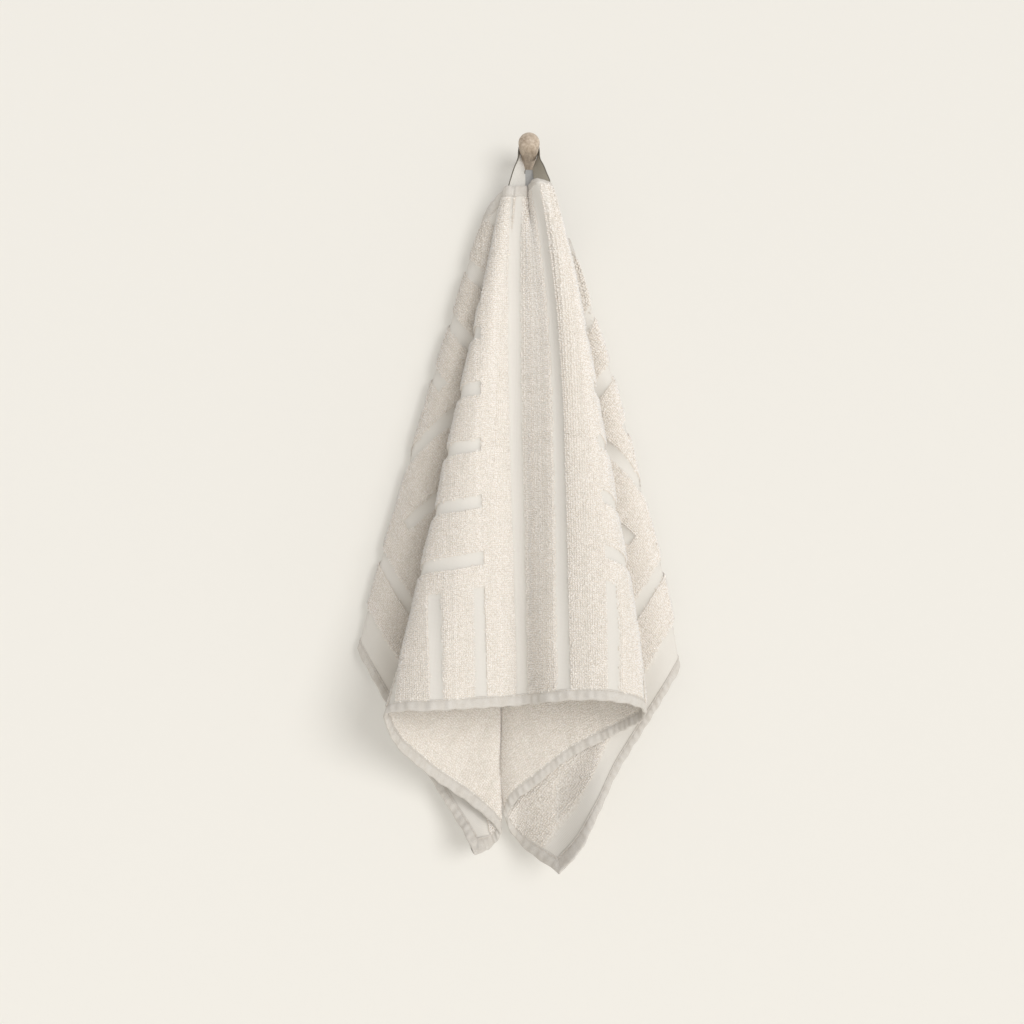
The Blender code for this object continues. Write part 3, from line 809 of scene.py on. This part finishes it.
def stitch_points(drape, side, face):
    """Corner points of the seam's single stitches along one hem, on one face."""
    long_side = side in ("top", "bottom")
    reach = (HALF_LENGTH if long_side else WIDTH / 2) - STITCH_INSET
    inset = STITCH_INSET * (1.0 if long_side else SIDE_HEM / LONG_HEM)
    middle = np.arange(-reach, reach, STITCH_PITCH)
    shape = np.array([(-1.0, 0.0, 0.0), (0.0, -1.0, 0.0), (0.0, 0.0, 1.0), (0.0, 1.0, 0.0),
                      (0.0, 0.0, -1.0), (1.0, 0.0, 0.0)])
    along = middle[:, None] + shape[:, 0] * STITCH_PITCH * 0.4
    aside = inset + shape[:, 1] * STITCH_RADIUS + np.zeros_like(along)
    spots, normals, thick = drape.surface(*hem_places(side, along, aside))
    rise = 1.0 * thick + shape[:, 2] * STITCH_RADIUS
    return spots + normals * (rise * (1.0 if face == "front" else -1.0))[..., None]


class OBJECT_OT_towel_stitches(bpy.types.Operator):
    """Sew the hems: one seam of short stitches on both faces"""

    bl_idname = "object.towel_stitches"
    bl_label = "Hem stitches"

    def execute(self, context):
        drape = Drape()
        rows = [stitch_points(drape, side, face) for side in HEM_SIDES
                for face in ("front", "back")]
        points = np.concatenate(rows).reshape(-1, 3) * MM
        faces = [[6 * stitch + corner for corner in shape]
                 for stitch in range(len(points) // 6) for shape in STITCH_FACES]
        mesh = bpy.data.meshes.new("hem_stitches")
        mesh.from_pydata(points.tolist(), [], faces)
        shell = bmesh.new()
        shell.from_mesh(mesh)
        finish_mesh(shell, mesh)
        link_piece("hem_stitches", mesh, thread_material())
        return {"FINISHED"}


def peg_axis(distance):
    """A point on the peg's axis, mm from the wall face."""
    tilt = math.radians(PEG_TILT)
    return np.array((0.0, -math.cos(tilt), math.sin(tilt))) * distance


def peg_radius(distance):
    """The peg's radius behind the middle of its ball."""
    keys, radii = zip(*PEG_NECK)
    return float(smooth_lookup(keys, radii, np.array(distance)))


def leg_rows(rows):
    """Middle, direction across and width of the tape at each row of a leg's table."""
    sections = []
    for x, y, z, turn, width in rows:
        swing = math.radians(turn)
        across = np.array((math.sin(abs(swing)) * math.copysign(1.0, turn), 0.0, 0.0))
        sections.append((np.array((x, y, z)), across + peg_axis(1.0) * math.cos(swing), width))
    return sections


def crown_rows():
    """Tape sections over the top of the peg's neck."""
    radius = peg_radius(TAPE_SEAT) + TAPE_CLEARANCE + TAPE_THICKNESS / 2
    taper = (peg_radius(TAPE_SEAT + 8.0) - peg_radius(TAPE_SEAT - 8.0)) / 16.0
    tilt = math.radians(PEG_TILT)
    upward = np.array((0.0, math.sin(tilt), math.cos(tilt)))
    sections = []
    for step in range(9):
        angle = math.radians(-92.0 + 184.0 * step / 8)
        radial = np.array((math.sin(angle), 0.0, 0.0)) + upward * math.cos(angle)
        sections.append((peg_axis(TAPE_SEAT) + radial * radius, peg_axis(1.0) + radial * taper,
                         CROWN_WIDTH))
    return sections


def ribbon(sections, seed):
    """Points, flat places and row length of a tape run through sections, slightly uneven."""
    chance = np.random.default_rng(seed)
    middle = np.array([row[0] for row in sections])
    across = np.array([row[1] / np.linalg.norm(row[1]) for row in sections])
    width = np.array([row[2] for row in sections])
    keys = np.concatenate(([0.0], np.cumsum(np.linalg.norm(np.diff(middle, axis=0), axis=1))))
    where = np.linspace(0.0, keys[-1], round(keys[-1] / TAPE_ROW_PITCH) + 1)

    def look(values):
        return smooth_lookup(keys, values, where)

    centre = np.stack([look(middle[:, axis]) for axis in range(3)], axis=-1)
    side = np.stack([look(across[:, axis]) for axis in range(3)], axis=-1)
    side = unit(side)
    normal = unit(np.cross(np.gradient(centre, axis=0), side))
    underside = tuple((place, -thick) for place, thick in TAPE_SECTION[::-1])
    shape = np.array(TAPE_SECTION + underside)
    cupped = 0.5 * np.cos(shape[:, 0] * 1.5)
    cupped = cupped + 0.25 * np.sin(where / 4.0 + chance.uniform(0, 6))[:, None]
    points = (centre[:, None, :]
              + side[:, None, :] * (look(width)[:, None] * shape[:, 0] / 2)[..., None]
              + normal[:, None, :] * (shape[:, 1] + cupped)[..., None])
    flat = np.stack(np.broadcast_arrays(where[:, None], TAPE_WIDTH * shape[:, 0] / 2), axis=-1)
    return points.reshape(-1, 3), flat.reshape(-1, 2), len(where), len(shape)


class OBJECT_OT_towel_tape(bpy.types.Operator):
    """Lay the hanging loop: one woven tape over the peg, its ends behind the hem"""

    bl_idname = "object.towel_tape"
    bl_label = "Loop tape"

    def execute(self, context):
        runs = [ribbon(leg_rows(LEFT_LEG) + crown_rows() + leg_rows(RIGHT_LEG), 5),
                ribbon(leg_rows(TAPE_TAIL), 6)]
        shell = bmesh.new()
        layer = shell.loops.layers.uv.new("flat")
        for (points, flat, rows, columns), shift in zip(runs, (0.0, TAIL_MAP_START)):
            verts = [shell.verts.new(Vector(point) * MM) for point in points]
            places = dict(zip(verts, flat))
            faces = band_faces(rows, columns).tolist()
            faces += [list(range(columns)), list(range((rows - 1) * columns, rows * columns))]
            for face in faces:
                made = shell.faces.new([verts[corner] for corner in face])
                for loop in made.loops:
                    loop[layer].uv = (places[loop.vert] + (shift, 0.0)) * MM
        mesh = bpy.data.meshes.new("hanging_loop")
        finish_mesh(shell, mesh)
        material = tape_material(context.scene.towel_settings)
        tape = link_piece("hanging_loop", mesh, material)
        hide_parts("loop_tape")
        return {"FINISHED"}


class OBJECT_OT_towel_peg(bpy.types.Operator):
    """Turn the wooden peg: a drop on a slim neck, tilted up and cut flat at the wall"""

    bl_idname = "object.towel_peg"
    bl_label = "Wall peg"

    def execute(self, context):
        places = np.arange(PEG_NECK[0][0], PEG_BALL_CENTRE, 1.5)
        profile = [(0.0, PEG_NECK[0][0])] + [(peg_radius(place), place) for place in places]
        for angle in np.radians(np.linspace(0.0, 90.0, 15)):
            profile.append((PEG_BALL_RADIUS * math.cos(angle) * (angle < 1.57),
                            PEG_BALL_CENTRE + PEG_BALL_RADIUS * math.sin(angle)))
        turned = bmesh.new()
        verts = [turned.verts.new(Vector((radius, 0.0, place)) * MM) for radius, place in profile]
        edges = [turned.edges.new(pair) for pair in zip(verts, verts[1:])]
        bmesh.ops.spin(turned, geom=verts + edges, cent=(0, 0, 0), axis=(0, 0, 1),
                       angle=math.tau, steps=56)
        bmesh.ops.remove_doubles(turned, verts=turned.verts[:], dist=0.00001)
        bmesh.ops.rotate(turned, verts=turned.verts[:], cent=(0, 0, 0),
                         matrix=Matrix.Rotation(math.radians(90.0 - PEG_TILT), 3, "X"))
        cut = bmesh.ops.bisect_plane(
            turned, geom=turned.verts[:] + turned.edges[:] + turned.faces[:],
            plane_co=(0, 0, 0), plane_no=(0, 1, 0), clear_outer=True)
        rim = [item for item in cut["geom_cut"] if isinstance(item, bmesh.types.BMEdge)]
        bmesh.ops.contextual_create(turned, geom=rim)
        mesh = bpy.data.meshes.new("turned_peg")
        finish_mesh(turned, mesh)
        mesh.set_sharp_from_angle(angle=math.radians(50.0))
        material = wood_material(context.scene.towel_settings)
        peg = link_piece("turned_peg", mesh, material)
        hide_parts("wall_peg")
        return {"FINISHED"}


def loop_places(pitch, seed):
    """Flat points for terry loops in uneven rows, and how proud each row stands."""
    chance = np.random.default_rng(seed)
    columns = np.arange(-HALF_LENGTH + 3.0, HALF_LENGTH - 3.0, pitch)
    rows = np.arange(3.0, WIDTH - 3.0, pitch * 1.05)
    across, down = (axis.ravel() for axis in np.meshgrid(columns, rows, indexing="ij"))
    across = across + chance.normal(0.0, pitch * 0.13, across.shape)
    down = down + chance.normal(0.0, pitch * 0.16, down.shape)
    proud = np.repeat(chance.normal(0.0, 1.0, len(columns)), len(rows))
    return across, down, proud, chance


def terry_loops(drape, face, pitch, height, tip_places, seed):
    """Corner and tip points of each loop on one face of the cloth, and its random tone."""
    across, down, proud, chance = loop_places(pitch, seed)
    front_height, back_height = heights(across, down)[:2]
    stray = chance.normal(0.0, EDGE_STRAY, (2, len(across)))
    front, back = heights(across + stray[0], down + stray[1])[2:]
    kept = (front if face == "front" else back) > TERRY_SHARE
    across, down, proud = across[kept], down[kept], proud[kept]
    base = (front_height if face == "front" else -back_height)[kept]
    spots, normals, thick = drape.surface(across, down)
    beyond, before = (drape.place(np.clip(across + step, -HALF_LENGTH, HALF_LENGTH), down)
                      for step in (1.0, -1.0))
    ahead = unit(beyond - before)
    aside = np.cross(normals, ahead)
    outward = normals if face == "front" else -normals
    root = spots + normals * ((base - 0.2 * np.sign(base)) * thick)[..., None]
    turn = chance.uniform(0.0, math.pi, across.shape)
    long_way = ahead * np.cos(turn)[..., None] + aside * np.sin(turn)[..., None]
    cross_way = aside * np.cos(turn)[..., None] - ahead * np.sin(turn)[..., None]
    tall = height * thick * chance.uniform(0.75, 1.2, across.shape) * (1.0 + 0.07 * proud)
    lean = ahead * chance.normal(0.0, 0.28, across.shape)[..., None]
    lean = lean + aside * chance.normal(0.0, 0.28, across.shape)[..., None]
    wide = pitch * 0.56
    corners = [root + long_way * wide * a + cross_way * wide * b
               for a, b in ((-1, -0.75), (1, -0.75), (1, 0.75), (-1, 0.75))]
    tips = [root + outward * tall[..., None] + lean + long_way * wide * a
            for a in tip_places]
    tone = 0.5 + 0.16 * proud + chance.uniform(-0.4, 0.4, across.shape)
    return np.stack(corners + tips, axis=1), np.clip(tone, 0.0, 1.0)


class OBJECT_OT_towel_loops(bpy.types.Operator):
    """Raise the terry's loops on both faces of the towel, joined into a few pieces"""

    bl_idname = "object.towel_loops"
    bl_label = "Terry loops"

    def execute(self, context):
        settings = context.scene.towel_settings
        drape = Drape()
        material = loop_material(settings)
        pitch = settings.loop_pitch / MM
        for face, seed, spacing, tips, shapes in (
                ("front", 3, pitch, LOOP_TIPS, LOOP_FACES),
                ("back", 4, pitch * BACK_PITCH_SHARE, BUD_TIPS, BUD_FACES)):
            points, tone = terry_loops(drape, face, spacing, settings.pile / MM, tips, seed)
            corners = points.shape[1]
            ordered = [shape if face == "front" else shape[::-1] for shape in shapes]
            count = math.ceil(len(points) / LOOPS_A_PIECE)
            for number, part in enumerate(np.array_split(np.arange(len(points)), count)):
                name = f"terry_loops_{face}_{number + 1}"
                mesh = bpy.data.meshes.new(name)
                faces = [[corners * loop + corner for corner in shape]
                         for loop in range(len(part)) for shape in ordered]
                mesh.from_pydata((points[part].reshape(-1, 3) * MM).tolist(), [], faces)
                mesh.shade_smooth()
                tones = np.repeat(tone[part], corners)
                mesh.attributes.new("tone", "FLOAT", "POINT").data.foreach_set("value", tones)
                # tip runs from 0 at a loop's roots to 1 at its tips; the loop material paints shade
                # at the roots from it
                rises = np.tile([0.0] * 4 + [1.0] * len(tips), len(part))
                mesh.attributes.new("tip", "FLOAT", "POINT").data.foreach_set("value", rises)
                link_piece(name, mesh, material)
        return {"FINISHED"}


class OBJECT_OT_towel_stage(bpy.types.Operator):
    """Set the pale wall, the floor, the soft lights and the camera"""

    bl_idname = "object.towel_stage"
    bl_label = "Towel stage"

    def execute(self, context):
        settings = context.scene.towel_settings
        wall_material = stage_material(settings)
        walls = {"part": bpy.data.collections.new("not_lit_by_part_lamps"),
                 "wall": bpy.data.collections.new("lit_by_wall_lamp")}
        for name, size, place, turn in STAGE_PLANES:
            plane = bmesh.new()
            bmesh.ops.create_grid(plane, x_segments=1, y_segments=1, size=size / 2)
            mesh = bpy.data.meshes.new(name)
            plane.to_mesh(mesh)
            plane.free()
            item = bpy.data.objects.new(name, mesh)
            item.location = place
            item.rotation_euler = (math.radians(turn), 0.0, 0.0)
            mesh.materials.append(wall_material)
            context.scene.collection.objects.link(item)
            for group in walls.values():
                group.objects.link(item)
        for group, state in (("part", "EXCLUDE"), ("wall", "INCLUDE")):
            for link in walls[group].collection_objects:
                link.light_linking.link_state = state
        for name, place, spread, strength, lit in LAMPS:
            light = bpy.data.lights.new(name, "SUN")
            light.energy = strength
            light.angle = math.radians(spread)
            item = bpy.data.objects.new(name, light)
            item.location = place
            item.rotation_euler = (-Vector(place)).to_track_quat("-Z", "Y").to_euler()
            context.scene.collection.objects.link(item)
            item.light_linking.receiver_collection = walls[lit]
        world = bpy.data.worlds.new("soft_room")
        world.use_nodes = True
        background = world.node_tree.nodes["Background"]
        background.inputs[0].default_value = (*linear("#fffdfb"), 1.0)
        background.inputs[1].default_value = WORLD_STRENGTH
        context.scene.world = world
        context.scene.view_settings.view_transform = "Standard"
        lens = bpy.data.cameras.new("camera")
        lens.lens = CAMERA_LENS
        lens.sensor_width = 36.0
        camera = bpy.data.objects.new("camera", lens)
        camera.location = CAMERA_PLACE
        camera.rotation_euler = (math.radians(90.0), 0.0, 0.0)
        context.scene.collection.objects.link(camera)
        context.scene.camera = camera
        return {"FINISHED"}


def stage_material(settings):
    """Pale wall and floor that glow a little; the wall is clear when seen from behind."""
    material, tree, shader = new_material("pale_wall")
    shader.inputs["Base Color"].default_value = (*settings.wall, 1.0)
    shader.inputs["Roughness"].default_value = 0.95
    shader.inputs["Specular IOR Level"].default_value = 0.1
    glow = add_node(tree, "ShaderNodeEmission", strength=WALL_GLOW_STRENGTH)
    glow.inputs["Color"].default_value = (*settings.wall, 1.0)
    blend = add_node(tree, "ShaderNodeMixShader", input_0=WALL_GLOW)
    tree.links.new(shader.outputs[0], blend.inputs[1])
    tree.links.new(glow.outputs[0], blend.inputs[2])
    clear = add_node(tree, "ShaderNodeBsdfTransparent")
    behind = add_node(tree, "ShaderNodeNewGeometry").outputs["Backfacing"]
    sided = add_node(tree, "ShaderNodeMixShader", input_0=behind)
    tree.links.new(blend.outputs[0], sided.inputs[1])
    tree.links.new(clear.outputs[0], sided.inputs[2])
    tree.links.new(sided.outputs[0], tree.nodes["Material Output"].inputs["Surface"])
    return material


class VIEW3D_PT_towel(bpy.types.Panel):
    """Sidebar panel with the towel's sizes and colours"""

    bl_idname = "VIEW3D_PT_towel"
    bl_label = "Hand towel"
    bl_space_type = "VIEW_3D"
    bl_region_type = "UI"
    bl_category = "Towel"

    def draw(self, context):
        settings = context.scene.towel_settings
        for key in TowelSettings.__annotations__:
            self.layout.prop(settings, key)
        for kind in CLASSES[1:-1]:
            self.layout.operator(kind.bl_idname)


CLASSES = (TowelSettings, OBJECT_OT_towel_cloth, OBJECT_OT_towel_hems, OBJECT_OT_towel_stitches,
           OBJECT_OT_towel_loops, OBJECT_OT_towel_tape, OBJECT_OT_towel_peg,
           OBJECT_OT_towel_stage, VIEW3D_PT_towel)


def register():
    """Register the towel's settings, operators and panel."""
    for kind in CLASSES:
        bpy.utils.register_class(kind)
    bpy.types.Scene.towel_settings = bpy.props.PointerProperty(type=TowelSettings)


def unregister():
    """Take the towel's settings, operators and panel away again."""
    del bpy.types.Scene.towel_settings
    for kind in reversed(CLASSES):
        bpy.utils.unregister_class(kind)


def main():
    """Build the towel, its peg and the stage."""
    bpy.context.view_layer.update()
    register()
    bpy.ops.object.towel_cloth()
    bpy.ops.object.towel_hems()
    bpy.ops.object.towel_stitches()
    bpy.ops.object.towel_loops()
    bpy.ops.object.towel_tape()
    bpy.ops.object.towel_peg()
    bpy.ops.object.towel_stage()


if __name__ == "__main__":
    main()
